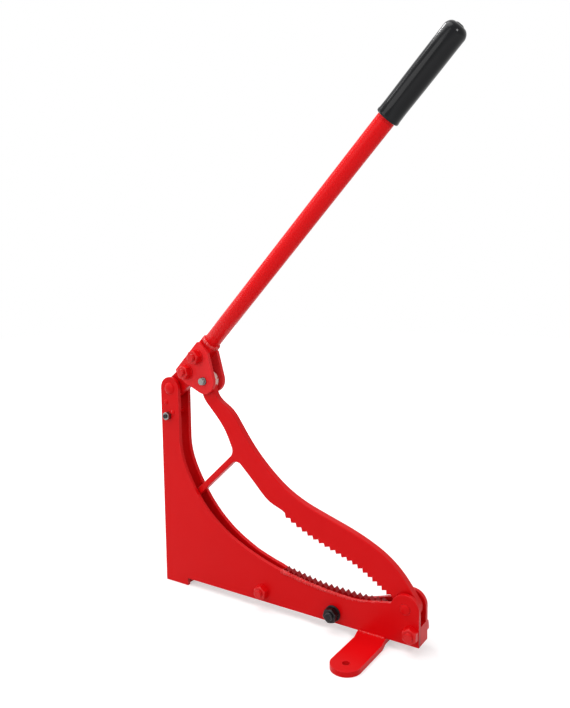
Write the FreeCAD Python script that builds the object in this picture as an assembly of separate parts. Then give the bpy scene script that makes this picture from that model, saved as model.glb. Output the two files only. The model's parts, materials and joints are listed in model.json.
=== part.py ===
import FreeCAD, Part
import math
import os

from FreeCAD import Vector

# Lever nutcracker press with a pair of side plates, a fixed toothed lower jaw between them,
# a toothed upper jaw arm that pivots at the front, and a long handle whose cheeks hang on a
# short link at the top of the upright.
#
# Millimetres. X runs forward from the upright to the jaw pivot, Z is up, Y is across.
# The origin is on the bench, midway between the two bench bolts, in the press's middle plane.
# The near side is -Y. Heights are above the bench, and at() measures along X from the rear edge.

os.makedirs("parts", exist_ok=True)

# Driving dimensions: frame
PLATE = 4.0                  # side plates and cheeks
GAP = 12.0                   # clear space between the plates
FRAME_LENGTH = 300.5
FRAME_LIFT = 8.0             # underside of the plates above the bench
HEEL_LENGTH = 31.0
UPRIGHT_WIDTH = 24.6
TOP_PIVOT_HEIGHT = 217.5
JAW_PIVOT_HEIGHT = 40.5
NOSE_RADIUS = 13.5           # plate round the jaw pivot
THROAT_FLOOR = 36.8          # lowest point of the plates' upper edge
FOOT_WIDTH = 28.6            # bench foot, a strip across the frame
FOOT_THICKNESS = 5.0
FOOT_SPAN = 148.0
BENCH_BOLT_SPACING = 120.0
BENCH_BOLT_HOLE = 7.0
BENCH_BOLTS_FROM_REAR = 254.5

# Driving dimensions: jaws
ARM_THICKNESS = 8.0
ARM_EYE_RADIUS = 9.5
ARM_NOSE_RADIUS = 11.6
UPPER_TEETH = 20
UPPER_TOOTH_DEPTH = 3.3
UPPER_TOOTH_GROWTH = 0.16    # how much coarser the teeth get towards the upright
LOWER_TEETH = 18
LOWER_TOOTH_DEPTH = 2.7
TONGUE_WIDTH = 6.5
TONGUE_LENGTH = 78.0
LOWER_JAW_START = 132.0      # behind the jaw pivot
LOWER_JAW_END = 22.0         # behind the jaw pivot
JAW_THICKNESS = 6.0

# Driving dimensions: link and handle
LINK_LENGTH = 32.4
LINK_ANGLE = 38.1            # degrees above the horizontal, at rest
LINK_WIDTH = 22.0
LINK_THICKNESS = 8.0
LINK_EYE_PLAY = 3.2          # free space round the top pivot pin
HANDLE_ANGLE = 45.4          # degrees above the horizontal, at rest
TUBE_DIAMETER = 17.2
TUBE_WALL = 2.3
TUBE_START = 27.0            # along the handle, from the station of the cheek datum
TUBE_END = 393.0
GRIP_LENGTH = 77.0
GRIP_WALL = 2.2
CHEEK_TAIL = 25.4            # cheek behind its datum
CHEEK_HEAD = 20.6            # cheek ahead of its datum
CHEEK_EAR_RADIUS = 13.6
LINK_BOLT_STATION = -14.1
LINK_BOLT_OFFSET = 3.5
LUG_BOLT_STATION = 7.5
LUG_BOLT_OFFSET = 1.9
ARM_BOLT_STATION = -4.7
ARM_BOLT_OFFSET = 25.1

# Driving dimensions: fasteners
M8_RADIUS = 4.0
M8_FLATS = 13.0
M8_HEAD = 5.3
M8_NUT = 6.5
WASHER_RADIUS = 8.0
WASHER = 1.6
THREAD_BEYOND_NUT = 2.4
JAW_PIN_RADIUS = 5.0
JAW_WASHER_RADIUS = 9.5
RIVET_RADIUS = 1.6
RIVET_HEAD_RADIUS = 2.8
M5_RADIUS = 2.5
M5_FLATS = 8.0
M5_HEAD = 3.5
M5_NUT = 4.7
THREAD_PLAY = 0.02
HOLE_CLEARANCE = 0.1         # round a bolt in plates of its own body
RUNNING_CLEARANCE = 0.05     # round a pin that its neighbour turns on
WASHER_PLAY = 0.4            # between an inner washer and the arm or the link

SIDE = GAP / 2 + PLATE       # outer face of the near and far plates


def at(from_rear, height, y=0.0):
    return Vector(from_rear - BENCH_BOLTS_FROM_REAR, y, height)


def polar(centre, radius, degrees):
    angle = math.radians(degrees)
    return centre + Vector(radius * math.cos(angle), 0, radius * math.sin(angle))


def line(start, end):
    return Part.LineSegment(start, end).toShape()


def arc(start, middle, end):
    return Part.Arc(start, middle, end).toShape()


def arc_about(centre, radius, first, last):
    middle = (first + last) / 2
    return arc(polar(centre, radius, first), polar(centre, radius, middle), polar(centre, radius, last))


def spline(points, start_tangent=None, end_tangent=None):
    curve = Part.BSplineCurve()
    if start_tangent is None:
        curve.interpolate(Points=points)
    else:
        curve.interpolate(Points=points, InitialTangent=start_tangent, FinalTangent=end_tangent)
    return curve


def arcs_along(curve, tolerance=0.04):
    """The curve as a chain of tangent arcs, as a cutting machine would follow it."""
    return [piece.toShape() for piece in curve.toBiArcs(tolerance)]


def polyline(points):
    return [line(a, b) for a, b in zip(points, points[1:])]


def plate(edges, low_y, thickness):
    wire = Part.Wire(Part.__sortEdges__(edges))
    solid = Part.Face(wire).extrude(Vector(0, thickness, 0))
    solid.translate(Vector(0, low_y, 0))
    return solid


def rod(centre, radius, low_y, high_y):
    base = Vector(centre.x, low_y, centre.z)
    return Part.makeCylinder(radius, high_y - low_y, base, Vector(0, 1, 0))


def ring(centre, outer, inner, low_y, high_y):
    return rod(centre, outer, low_y, high_y).cut(rod(centre, inner, low_y - 1, high_y + 1))


def hexagon(centre, flats, seat_y, free_y, turn=0.0):
    """Hexagonal prism along Y with its corners taken off by a cone at the free end."""
    low_y, high_y = sorted((seat_y, free_y))
    corner = flats / math.sqrt(3)
    points = [polar(centre, corner, turn + 30 + 60 * i) for i in range(7)]
    prism = plate(polyline(points), low_y, high_y - low_y)
    bevel = (corner - flats / 2) * 0.6 * math.copysign(1, free_y - seat_y)
    profile = [
        Vector(0, seat_y, 0),
        Vector(corner + 1, seat_y, 0),
        Vector(corner + 1, free_y - bevel * (1 + 1 / (corner - flats / 2)), 0),
        Vector(flats / 2, free_y, 0),
        Vector(0, free_y, 0),
        Vector(0, seat_y, 0),
    ]
    cone = Part.Face(Part.Wire(polyline(profile))).revolve(Vector(0, 0, 0), Vector(0, 1, 0), 360)
    cone.translate(Vector(centre.x, 0, centre.z))
    return prism.common(cone)


def threaded_end(centre, radius, low_y, high_y):
    """Plain shank whose near end has the usual chamfer of a bolt's point."""
    point = radius * 0.2
    shank = rod(centre, radius, low_y + point, high_y)
    tip = Part.makeCone(radius - point, radius, point, Vector(centre.x, low_y, centre.z), Vector(0, 1, 0))
    return shank.fuse(tip).removeSplitter()


def bolt(centre, head_y, tip_y, turn=0.0, radius=M8_RADIUS, flats=M8_FLATS, head=M8_HEAD):
    """Hexagon bolt with its head on the far side and its point towards the near side."""
    cap = hexagon(centre, flats, head_y, head_y + head, turn)
    return cap.fuse(threaded_end(centre, radius, tip_y, head_y + 1)).removeSplitter()


def nut(centre, low_y, turn=0.0, radius=M8_RADIUS, flats=M8_FLATS, height=M8_NUT):
    thread = rod(centre, radius + THREAD_PLAY, low_y - 1, low_y + height + 1)
    return hexagon(centre, flats, low_y + height, low_y, turn).cut(thread)


def washer(centre, low_y):
    return ring(centre, WASHER_RADIUS, M8_RADIUS + HOLE_CLEARANCE, low_y, low_y + WASHER)


def inner_washers(centre, turning_thickness, outer=WASHER_RADIUS, pin=M8_RADIUS):
    """Pair of washers that fill the space between the plates and the piece that turns."""
    thickness = (GAP - turning_thickness) / 2 - WASHER_PLAY
    return group([ring(centre, outer, pin + HOLE_CLEARANCE, low, low + thickness)
                  for low in (-GAP / 2, GAP / 2 - thickness)])


def group(solids):
    return Part.makeCompound(solids)


def export(name, shape):
    shape.exportStep("parts/" + name + ".step")


def behind_pivot(distance):
    """Station from the rear of a place that far behind the jaw pivot."""
    return FRAME_LENGTH - NOSE_RADIUS - distance


# Pivots and directions
TOP_PIVOT = at(UPRIGHT_WIDTH / 2, TOP_PIVOT_HEIGHT)
JAW_PIVOT = at(FRAME_LENGTH - NOSE_RADIUS, JAW_PIVOT_HEIGHT)
LINK_PIVOT = polar(TOP_PIVOT, LINK_LENGTH, LINK_ANGLE)

ALONG = polar(Vector(0, 0, 0), 1, HANDLE_ANGLE)
ACROSS = polar(Vector(0, 0, 0), 1, HANDLE_ANGLE - 90)
CHEEK_DATUM = LINK_PIVOT - ALONG * LINK_BOLT_STATION - ACROSS * LINK_BOLT_OFFSET


def on_handle(station, offset):
    """Point by its distance along the handle's axis and its distance below that axis."""
    return CHEEK_DATUM + ALONG * station + ACROSS * offset


ARM_PIVOT = on_handle(ARM_BOLT_STATION, ARM_BOLT_OFFSET)
LUG_BOLT = on_handle(LUG_BOLT_STATION, LUG_BOLT_OFFSET)

REACH = (ARM_PIVOT - JAW_PIVOT).Length
CHORD = (ARM_PIVOT - JAW_PIVOT) * (1 / REACH)
OUTWARD = Vector(CHORD.z, 0, -CHORD.x)


def on_arm(along, outward):
    """Point by its shares of the arm's reach, from the jaw pivot towards the arm bolt."""
    return JAW_PIVOT + CHORD * (along * REACH) + OUTWARD * (outward * REACH)


def throat_point(forward, up):
    """Point of the plates' upper edge, by shares of the throat's width and height."""
    start = UPRIGHT_WIDTH
    width = FRAME_LENGTH - NOSE_RADIUS - start
    return at(start + forward * width, THROAT_FLOOR + up * (TOP_PIVOT_HEIGHT - THROAT_FLOOR))


# Fastener places
MID_BOLT = at(behind_pivot(155.5), 18.5)
CLAMP_BOLT = at(behind_pivot(73.4), 17.5)
FRONT_BOLT = at(FRAME_LENGTH - M8_FLATS / 2 - 0.5, 19.5)
REAR_BOLT = at(9.6, TOP_PIVOT_HEIGHT - 30)
RIVETS = [at(6.8, TOP_PIVOT_HEIGHT - 15.5), at(16.2, TOP_PIVOT_HEIGHT - 26)]


def plate_outline():
    nose_top = 153.0
    tail = UPRIGHT_WIDTH / 2
    throat = spline(
        [
            throat_point(0, 0.703),
            throat_point(0.032, 0.518),
            throat_point(0.110, 0.344),
            throat_point(0.226, 0.199),
            throat_point(0.341, 0.117),
            throat_point(0.486, 0.051),
            throat_point(0.608, 0.020),
            throat_point(0.748, 0.0),
            throat_point(0.844, 0.005),
            throat_point(0.937, 0.032),
            polar(JAW_PIVOT, NOSE_RADIUS, nose_top),
        ],
        Vector(0, 0, -1),
        polar(Vector(0, 0, 0), 1, nose_top - 90),
    )
    return [
        line(at(0, TOP_PIVOT_HEIGHT), at(0, 0)),
        line(at(0, 0), at(HEEL_LENGTH, 0)),
        line(at(HEEL_LENGTH, 0), at(HEEL_LENGTH, FRAME_LIFT)),
        line(at(HEEL_LENGTH, FRAME_LIFT), at(FRAME_LENGTH, FRAME_LIFT)),
        line(at(FRAME_LENGTH, FRAME_LIFT), polar(JAW_PIVOT, NOSE_RADIUS, 0)),
        arc_about(JAW_PIVOT, NOSE_RADIUS, 0, nose_top),
    ] + arcs_along(throat) + [
        line(throat_point(0, 0.703), polar(TOP_PIVOT, tail, 0)),
        arc_about(TOP_PIVOT, tail, 0, 180),
    ]


def drilled(solid):
    """Side plate with the holes of everything that crosses the frame."""
    holes = [(place, M8_RADIUS) for place in (MID_BOLT, CLAMP_BOLT, FRONT_BOLT, TOP_PIVOT)]
    holes += [(place, RIVET_RADIUS) for place in RIVETS]
    holes += [(REAR_BOLT, M5_RADIUS), (JAW_PIVOT, JAW_PIN_RADIUS)]
    for place, radius in holes:
        solid = solid.cut(rod(place, radius + HOLE_CLEARANCE, -2 * SIDE, 2 * SIDE))
    return solid


def near_side_plate():
    return drilled(plate(plate_outline(), -SIDE, PLATE))


def far_side_plate():
    """The same plate, drawn in along the jaw by its clamp bolt, so that it grips the jaw."""
    inner = GAP / 2
    pinched = JAW_THICKNESS - GAP / 2
    stations = [
        (behind_pivot(FRAME_LENGTH), inner),
        (behind_pivot(242), inner),
        (behind_pivot(169), pinched),
        (behind_pivot(53), pinched),
        (behind_pivot(25), inner),
        (FRAME_LENGTH + 1, inner),
    ]
    near_face = [at(x, -1, y) for x, y in stations]
    far_face = [at(x, -1, y + PLATE) for x, y in reversed(stations)]
    wire = Part.Wire(polyline(near_face + far_face + near_face[:1]))
    strip = Part.Face(wire).extrude(Vector(0, 0, 2 * TOP_PIVOT_HEIGHT))
    return drilled(strip.common(plate(plate_outline(), -SIDE, 2 * SIDE)))


def teeth(tip_curve, count, depth, inward, growth=0.0):
    """Zigzag with its tips along the curve and its roots set back from it."""
    marks = []
    for i in range(2 * count + 1):
        share = i / (2 * count)
        share += growth * share * (share - 1)
        distance = share * tip_curve.length()
        mark = tip_curve.value(tip_curve.parameterAtDistance(distance))
        marks.append(mark if i % 2 else mark + inward * depth)
    return marks


def lower_jaw():
    """Toothed bar against the near plate."""
    top = at(0, THROAT_FLOOR).z
    start = behind_pivot(LOWER_JAW_START)
    end = behind_pivot(LOWER_JAW_END)
    tips = spline([
        at(start, top + 11.1),
        at(start + 20, top + 7.5),
        at(start + 43, top + 3.9),
        at(start + 64, top + 2.7),
        at(start + 88, top + 2.8),
        at(end, top + 5.2),
    ])
    zigzag = teeth(tips, LOWER_TEETH, LOWER_TOOTH_DEPTH, Vector(0, 0, -1))
    underside = FRAME_LIFT + 2
    outline = zigzag + [
        at(end, underside),
        at(start - 14, underside),
        at(start - 14, top + 2),
        zigzag[0],
    ]
    solid = plate(polyline(outline), -GAP / 2, JAW_THICKNESS)
    return solid.cut(rod(CLAMP_BOLT, M8_RADIUS + HOLE_CLEARANCE, -GAP, GAP))


def upper_jaw_arm():
    eye_left = 192.0
    eye_right = -12.0
    nose_out = 45.0
    nose_in = HANDLE_ANGLE - 185.0
    outer = spline(
        [
            polar(ARM_PIVOT, ARM_EYE_RADIUS, eye_right),
            on_arm(0.932, -0.017),
            on_arm(0.868, -0.013),
            on_arm(0.802, -0.025),
            on_arm(0.707, -0.048),
            on_arm(0.603, -0.058),
            on_arm(0.527, -0.055),
            on_arm(0.437, -0.034),
            on_arm(0.334, 0.006),
            on_arm(0.239, 0.040),
            on_arm(0.160, 0.058),
            on_arm(0.095, 0.060),
            on_arm(0.036, 0.050),
            polar(JAW_PIVOT, ARM_NOSE_RADIUS, nose_out),
        ],
    )
    tips = spline([
        on_arm(0.060, -0.028),
        on_arm(0.124, -0.036),
        on_arm(0.190, -0.047),
        on_arm(0.256, -0.069),
        on_arm(0.340, -0.100),
        on_arm(0.417, -0.122),
        on_arm(0.478, -0.132),
    ])
    zigzag = teeth(tips, UPPER_TEETH, UPPER_TOOTH_DEPTH, OUTWARD, UPPER_TOOTH_GROWTH)
    inner = spline(
        [
            zigzag[-1],
            on_arm(0.533, -0.136),
            on_arm(0.607, -0.137),
            on_arm(0.676, -0.131),
            on_arm(0.735, -0.124),
            on_arm(0.777, -0.108),
            on_arm(0.828, -0.085),
            on_arm(0.892, -0.071),
            on_arm(0.963, -0.062),
            polar(ARM_PIVOT, ARM_EYE_RADIUS, eye_left),
        ],
        CHORD,
        polar(Vector(0, 0, 0), 1, eye_left - 90),
    )
    edges = arcs_along(outer) + arcs_along(inner)
    edges += [arc_about(ARM_PIVOT, ARM_EYE_RADIUS, eye_right, eye_left)]
    edges += [arc_about(JAW_PIVOT, ARM_NOSE_RADIUS, nose_in, nose_out)]
    edges += [line(polar(JAW_PIVOT, ARM_NOSE_RADIUS, nose_in), zigzag[0])]
    edges += polyline(zigzag)
    solid = plate(edges, -ARM_THICKNESS / 2, ARM_THICKNESS)
    solid = solid.fuse(tongue()).removeSplitter()
    solid = round_tongue_root(solid)
    solid = solid.cut(rod(ARM_PIVOT, M8_RADIUS + RUNNING_CLEARANCE, -GAP, GAP))
    return solid.cut(rod(JAW_PIVOT, JAW_PIN_RADIUS + RUNNING_CLEARANCE, -GAP, GAP))


TONGUE_ROOT = on_arm(0.745, -0.125)
TONGUE_AIM = (CHORD * 0.134 - OUTWARD * 0.991).normalize()


def tongue():
    """Slim bar that keeps the arm in line between the side plates."""
    half = Vector(TONGUE_AIM.z, 0, -TONGUE_AIM.x) * (TONGUE_WIDTH / 2)
    start = TONGUE_ROOT - TONGUE_AIM * 12
    end = TONGUE_ROOT + TONGUE_AIM * (TONGUE_LENGTH - TONGUE_WIDTH / 2)
    edges = [
        line(start + half, end + half),
        arc(end + half, end + TONGUE_AIM * (TONGUE_WIDTH / 2), end - half),
        line(end - half, start - half),
        line(start - half, start + half),
    ]
    return plate(edges, -ARM_THICKNESS / 2, ARM_THICKNESS)


def round_tongue_root(solid):
    root_fillet = 9.0
    corners = []
    for edge in solid.Edges:
        along_y = len(edge.Vertexes) == 2 and abs(edge.tangentAt(edge.FirstParameter).y) > 0.999
        if along_y and (edge.CenterOfMass - TONGUE_ROOT).Length < 12:
            corners.append(edge)
    return solid.makeFillet(root_fillet, corners)


def toggle_link():
    half = LINK_WIDTH / 2
    aim = LINK_ANGLE
    edges = [
        arc_about(TOP_PIVOT, half, aim + 90, aim + 270),
        line(polar(TOP_PIVOT, half, aim - 90), polar(LINK_PIVOT, half, aim - 90)),
        arc_about(LINK_PIVOT, half, aim - 90, aim + 90),
        line(polar(LINK_PIVOT, half, aim + 90), polar(TOP_PIVOT, half, aim + 90)),
    ]
    solid = plate(edges, -LINK_THICKNESS / 2, LINK_THICKNESS)
    solid = solid.cut(rod(TOP_PIVOT, M8_RADIUS + LINK_EYE_PLAY, -GAP, GAP))
    return solid.cut(rod(LINK_PIVOT, M8_RADIUS + RUNNING_CLEARANCE, -GAP, GAP))


def tangent_angle(outside, centre, radius, side):
    """Angle, seen from the centre, where a line from the outside point touches the circle."""
    reach = outside - centre
    return math.degrees(math.atan2(reach.z, reach.x) + side * math.acos(radius / reach.Length))


def cheek(low_y):
    strip = TUBE_DIAMETER / 2
    tail_top = on_handle(-CHEEK_TAIL, -strip)
    head_top = on_handle(CHEEK_HEAD, -strip)
    head_low = on_handle(CHEEK_HEAD, strip)
    tail_low = on_handle(-CHEEK_TAIL, strip - 0.8)
    front = tangent_angle(head_low, ARM_PIVOT, CHEEK_EAR_RADIUS, -1)
    back = tangent_angle(tail_low, ARM_PIVOT, CHEEK_EAR_RADIUS, 1)
    edges = polyline([polar(ARM_PIVOT, CHEEK_EAR_RADIUS, back), tail_low, tail_top, head_top, head_low,
                      polar(ARM_PIVOT, CHEEK_EAR_RADIUS, front)])
    edges.append(arc_about(ARM_PIVOT, CHEEK_EAR_RADIUS, back, front))
    solid = plate(edges, low_y, PLATE)
    corners = [edge for edge in solid.Edges if len(edge.Vertexes) == 2
               and abs(edge.Vertexes[0].Y - edge.Vertexes[1].Y) > PLATE / 2
               and (edge.CenterOfMass - ARM_PIVOT).cross(Vector(0, 1, 0)).Length > CHEEK_EAR_RADIUS + 1]
    solid = solid.makeFillet(2.5, corners)
    for place in (LINK_PIVOT, LUG_BOLT, ARM_PIVOT):
        solid = solid.cut(rod(place, M8_RADIUS + HOLE_CLEARANCE, low_y - 1, low_y + PLATE + 1))
    return solid


def handle_lug():
    """Flat bar between the cheeks, as wide as the tube that stands on it."""
    half = TUBE_DIAMETER / 2
    low = LINK_BOLT_STATION + LINK_WIDTH / 2 + 1.5
    points = [on_handle(low, -half), on_handle(TUBE_START, -half), on_handle(TUBE_START, half),
              on_handle(low, half), on_handle(low, -half)]
    solid = plate(polyline(points), -GAP / 2, GAP)
    return solid.cut(rod(LUG_BOLT, M8_RADIUS + HOLE_CLEARANCE, -GAP, GAP))


def turned(points):
    """Solid of revolution about the handle's axis, from (radius, station) points."""
    corners = [on_handle(station, radius) for radius, station in points]
    face = Part.Face(Part.Wire(polyline(corners + corners[:1])))
    return face.revolve(CHEEK_DATUM, ALONG, 360)


def handle_tube():
    outer = TUBE_DIAMETER / 2
    bore = outer - TUBE_WALL
    return turned([(outer, TUBE_START), (outer, TUBE_END), (bore, TUBE_END), (bore, TUBE_START)])


def weld_collar():
    outer = TUBE_DIAMETER / 2
    bead = turned([(outer - 2, TUBE_START - 2.2), (outer + 1.3, TUBE_START - 2.2), (outer + 1.3, TUBE_START + 1.0),
                   (outer, TUBE_START + 3.0), (outer, TUBE_START), (outer - 2, TUBE_START)])
    return bead.cut(handle_lug())


def handle_grip():
    """Closed vinyl sleeve with a thicker mouth and a rounded end."""
    bore = TUBE_DIAMETER / 2
    outer = bore + GRIP_WALL
    tip = TUBE_END + 6
    mouth = tip - GRIP_LENGTH
    points = [(0, TUBE_END), (bore, TUBE_END), (bore, mouth), (outer + 0.5, mouth), (outer + 0.5, mouth + 2.5),
              (outer, mouth + 4)]
    rounding = 8.0
    for step in range(3):
        angle = math.radians(step * 36)
        inset = rounding * (1 - math.cos(angle))
        points.append((outer - inset, tip - rounding * (1 - math.sin(angle))))
    points += [(2.0, tip), (0, tip)]
    return turned(points)


def bench_foot():
    """Strip under the plates, joggled down to the bench on both sides of them."""
    top = FRAME_LIFT
    drop = FRAME_LIFT - FOOT_THICKNESS
    knee = SIDE + 1.5
    toe = knee + 2.2 * drop
    upper = [(knee, top), (toe, FOOT_THICKNESS), (FOOT_SPAN / 2, FOOT_THICKNESS)]
    lower = [(FOOT_SPAN / 2, 0), (toe - 1.0, 0), (knee - 1.0, drop)]
    half = upper + lower
    profile = half + [(-y, z) for y, z in reversed(half)]
    low_x = -FOOT_WIDTH / 2
    points = [Vector(low_x, y, z) for y, z in profile]
    strip = Part.Face(Part.Wire(polyline(points + points[:1]))).extrude(Vector(FOOT_WIDTH, 0, 0))
    end = FOOT_WIDTH / 2
    middle = FOOT_SPAN / 2 - end
    outline = Part.makeBox(FOOT_WIDTH, 2 * middle, top, Vector(low_x, -middle, 0))
    for side in (-1, 1):
        outline = outline.fuse(Part.makeCylinder(end, top, Vector(0, side * middle, 0)))
    strip = strip.common(outline.removeSplitter())
    for side in (-1, 1):
        place = Vector(0, side * BENCH_BOLT_SPACING / 2, -1)
        strip = strip.cut(Part.makeCylinder(BENCH_BOLT_HOLE / 2, top + 2, place))
    return strip


def heel_block():
    block = Part.makeBox(HEEL_LENGTH - 6, GAP, 16, at(3, 0, -GAP / 2))
    return block


def front_block():
    low = FRAME_LENGTH - 18
    block = Part.makeBox(18, GAP, 18, at(low, FRAME_LIFT, -GAP / 2))
    return block.cut(rod(FRONT_BOLT, M8_RADIUS + HOLE_CLEARANCE, -GAP, GAP))


def domed_pin(centre, radius, head_radius, head_height):
    """Pin peened over on both sides of the frame, with low domed heads."""
    half = [(0, SIDE + head_height), (head_radius * 0.6, SIDE + head_height), (head_radius, SIDE)]
    if head_radius > radius:
        half.append((radius, SIDE))
    points = half + [(r, -y) for r, y in reversed(half)]
    corners = [Vector(r, y, 0) for r, y in points]
    pin = Part.Face(Part.Wire(polyline(corners + corners[:1]))).revolve(Vector(0, 0, 0), Vector(0, 1, 0), 360)
    pin.translate(Vector(centre.x, 0, centre.z))
    return pin


NEAR_NUT = -SIDE - WASHER - M8_NUT
BOLT_TIP = NEAR_NUT - THREAD_BEYOND_NUT
BARE_NUT = -SIDE - M8_NUT
BARE_TIP = BARE_NUT - THREAD_BEYOND_NUT
PINCHED_FACE = JAW_THICKNESS - GAP / 2 + PLATE

# Frame
export("near_side_plate", near_side_plate())
export("far_side_plate", far_side_plate())
export("lower_jaw", lower_jaw())
export("heel_block", heel_block())
export("front_spacer_block", front_block())
export("bench_foot", bench_foot())
export("mid_spacer_sleeve", ring(MID_BOLT, 7.0, M8_RADIUS + HOLE_CLEARANCE, -GAP / 2, JAW_THICKNESS - GAP / 2))
export("rear_spacer_sleeve", ring(REAR_BOLT, 4.5, M5_RADIUS + HOLE_CLEARANCE, -GAP / 2, GAP / 2))
export("frame_bolts", group([bolt(MID_BOLT, PINCHED_FACE, BARE_TIP, 12), bolt(FRONT_BOLT, SIDE, BARE_TIP, 0)]))
export("frame_nuts", group([nut(MID_BOLT, BARE_NUT, 20), nut(FRONT_BOLT, BARE_NUT, 0)]))
export("jaw_clamp_bolt", bolt(CLAMP_BOLT, PINCHED_FACE, BOLT_TIP, 5))
export("jaw_clamp_nut", nut(CLAMP_BOLT, NEAR_NUT, 8))
export("jaw_clamp_washer", washer(CLAMP_BOLT, -SIDE - WASHER))
export("rear_bolt", bolt(REAR_BOLT, SIDE, -SIDE - M5_NUT - 1.6, 0, M5_RADIUS, M5_FLATS, M5_HEAD))
export("rear_nut", nut(REAR_BOLT, -SIDE - M5_NUT, 25, M5_RADIUS, M5_FLATS, M5_NUT))
export("upright_rivets", group([domed_pin(place, RIVET_RADIUS, RIVET_HEAD_RADIUS, 1.2) for place in RIVETS]))
export("top_pivot_pin", domed_pin(TOP_PIVOT, M8_RADIUS, 6.5, 2.4))
export("top_pivot_washers", inner_washers(TOP_PIVOT, LINK_THICKNESS))
export("jaw_pivot_pin", domed_pin(JAW_PIVOT, JAW_PIN_RADIUS, JAW_PIN_RADIUS, 1.2))
export("jaw_pivot_washers", inner_washers(JAW_PIVOT, ARM_THICKNESS, JAW_WASHER_RADIUS, JAW_PIN_RADIUS))

# Arm and link
export("upper_jaw_arm", upper_jaw_arm())
export("toggle_link", toggle_link())

# Handle
export("near_cheek", cheek(-SIDE))
export("far_cheek", cheek(GAP / 2))
export("handle_lug", handle_lug())
export("handle_tube", handle_tube())
export("weld_collar", weld_collar())
export("handle_grip", handle_grip())
export("cheek_bolts", group([bolt(LINK_PIVOT, SIDE, BOLT_TIP, 10), bolt(LUG_BOLT, SIDE, BOLT_TIP, 40)]))
export("cheek_nuts", group([nut(LINK_PIVOT, NEAR_NUT, 10), nut(LUG_BOLT, NEAR_NUT, 35)]))
export("cheek_washers", group([washer(LINK_PIVOT, -SIDE - WASHER), washer(LUG_BOLT, -SIDE - WASHER)]))
export("link_bolt_washers", inner_washers(LINK_PIVOT, LINK_THICKNESS))
export("arm_bolt", bolt(ARM_PIVOT, SIDE, -SIDE - 4.0, 20))
export("arm_bolt_washers", inner_washers(ARM_PIVOT, ARM_THICKNESS))
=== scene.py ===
import json
import math

import bmesh
import bpy
from mathutils import Matrix, Vector


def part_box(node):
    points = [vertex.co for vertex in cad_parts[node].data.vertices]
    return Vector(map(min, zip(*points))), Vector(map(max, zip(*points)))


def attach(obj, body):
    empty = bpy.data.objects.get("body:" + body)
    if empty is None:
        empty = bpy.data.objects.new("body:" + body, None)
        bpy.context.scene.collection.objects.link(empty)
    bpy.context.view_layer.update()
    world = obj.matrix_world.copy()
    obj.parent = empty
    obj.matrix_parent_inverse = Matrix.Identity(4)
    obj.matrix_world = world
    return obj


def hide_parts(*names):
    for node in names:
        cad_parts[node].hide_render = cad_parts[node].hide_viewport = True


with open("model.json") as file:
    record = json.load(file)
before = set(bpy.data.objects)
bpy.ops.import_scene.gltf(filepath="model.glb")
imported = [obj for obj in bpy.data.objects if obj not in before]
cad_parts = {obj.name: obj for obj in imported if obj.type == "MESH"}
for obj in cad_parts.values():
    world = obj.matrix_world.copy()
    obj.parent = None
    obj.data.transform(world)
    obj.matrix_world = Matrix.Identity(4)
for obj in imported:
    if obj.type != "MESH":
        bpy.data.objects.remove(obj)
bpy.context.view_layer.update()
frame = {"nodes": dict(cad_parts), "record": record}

# A lever nutcracker press: red painted side plates and arm, painted and bare fasteners, a tube
# handle with a dipped grip. Metres, in the frame of the CAD: X from the upright to the jaw pivot,
# Z up, the near side is -Y.

MM = 0.001

REAR_X = -254.5 * MM                # rear edge of the side plates
OVER_PLATES = 20 * MM               # width over both side plates
ARM_PIN = (-0.19472, 0.22902)       # X and Z of the bolt through the arm's eye

M8_RADIUS, M8_FLATS, M8_HEAD, M8_PITCH = 4 * MM, 13 * MM, 5.3 * MM, 1.25 * MM
M5_RADIUS, M5_FLATS, M5_HEAD, M5_PITCH = 2.5 * MM, 8 * MM, 3.5 * MM, 0.8 * MM
M8_WASHER_BORE = 4.1 * MM
JAW_PIVOT_WASHER_BORE = 5.1 * MM
NUT_PLAY = 0.02 * MM                # between a nut's bore and the thread
THREADED_SHARE = 0.45               # of a bolt's shank


# Node helpers

def add_node(tree, kind, inputs=None, **settings):
    """Adds a node, sets its properties, and fills its inputs with values or with other sockets."""
    node = tree.nodes.new(kind)
    for key, value in settings.items():
        setattr(node, key, value)
    for key, value in (inputs or {}).items():
        for item in value if isinstance(value, list) else [value]:
            if isinstance(item, bpy.types.NodeSocket):
                tree.links.new(item, node.inputs[key])
            else:
                node.inputs[key].default_value = item
    return node


def first_output(tree, kind, inputs=None, **settings):
    return add_node(tree, kind, inputs, **settings).outputs[0]


def maths(tree, operation, first, second=0.0):
    return first_output(tree, "ShaderNodeMath", {0: first, 1: second}, operation=operation)


def plus(tree, first, second):
    return maths(tree, "ADD", first, second)


def minus(tree, first, second):
    return maths(tree, "SUBTRACT", first, second)


def times(tree, first, second):
    return maths(tree, "MULTIPLY", first, second)


def over(tree, first, second):
    return maths(tree, "DIVIDE", first, second)


def length_of(tree, vector):
    node = add_node(tree, "ShaderNodeVectorMath", {0: vector}, operation="LENGTH")
    return node.outputs["Value"]


def vector_from(tree, x=0.0, y=0.0, z=0.0):
    return first_output(tree, "ShaderNodeCombineXYZ", {"X": x, "Y": y, "Z": z})


def parts_of(tree, vector):
    return add_node(tree, "ShaderNodeSeparateXYZ", {0: vector}).outputs


def new_material(name):
    material = bpy.data.materials.new(name)
    material.use_nodes = True
    tree = material.node_tree
    tree.nodes.clear()
    place = tree.nodes.new("ShaderNodeTexCoord").outputs["Object"]
    return material, tree, place


def noise(tree, place, scale, detail=2.0, roughness=0.5):
    inputs = {"Vector": place, "Scale": scale, "Detail": detail, "Roughness": roughness}
    return add_node(tree, "ShaderNodeTexNoise", inputs).outputs["Fac"]


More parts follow.
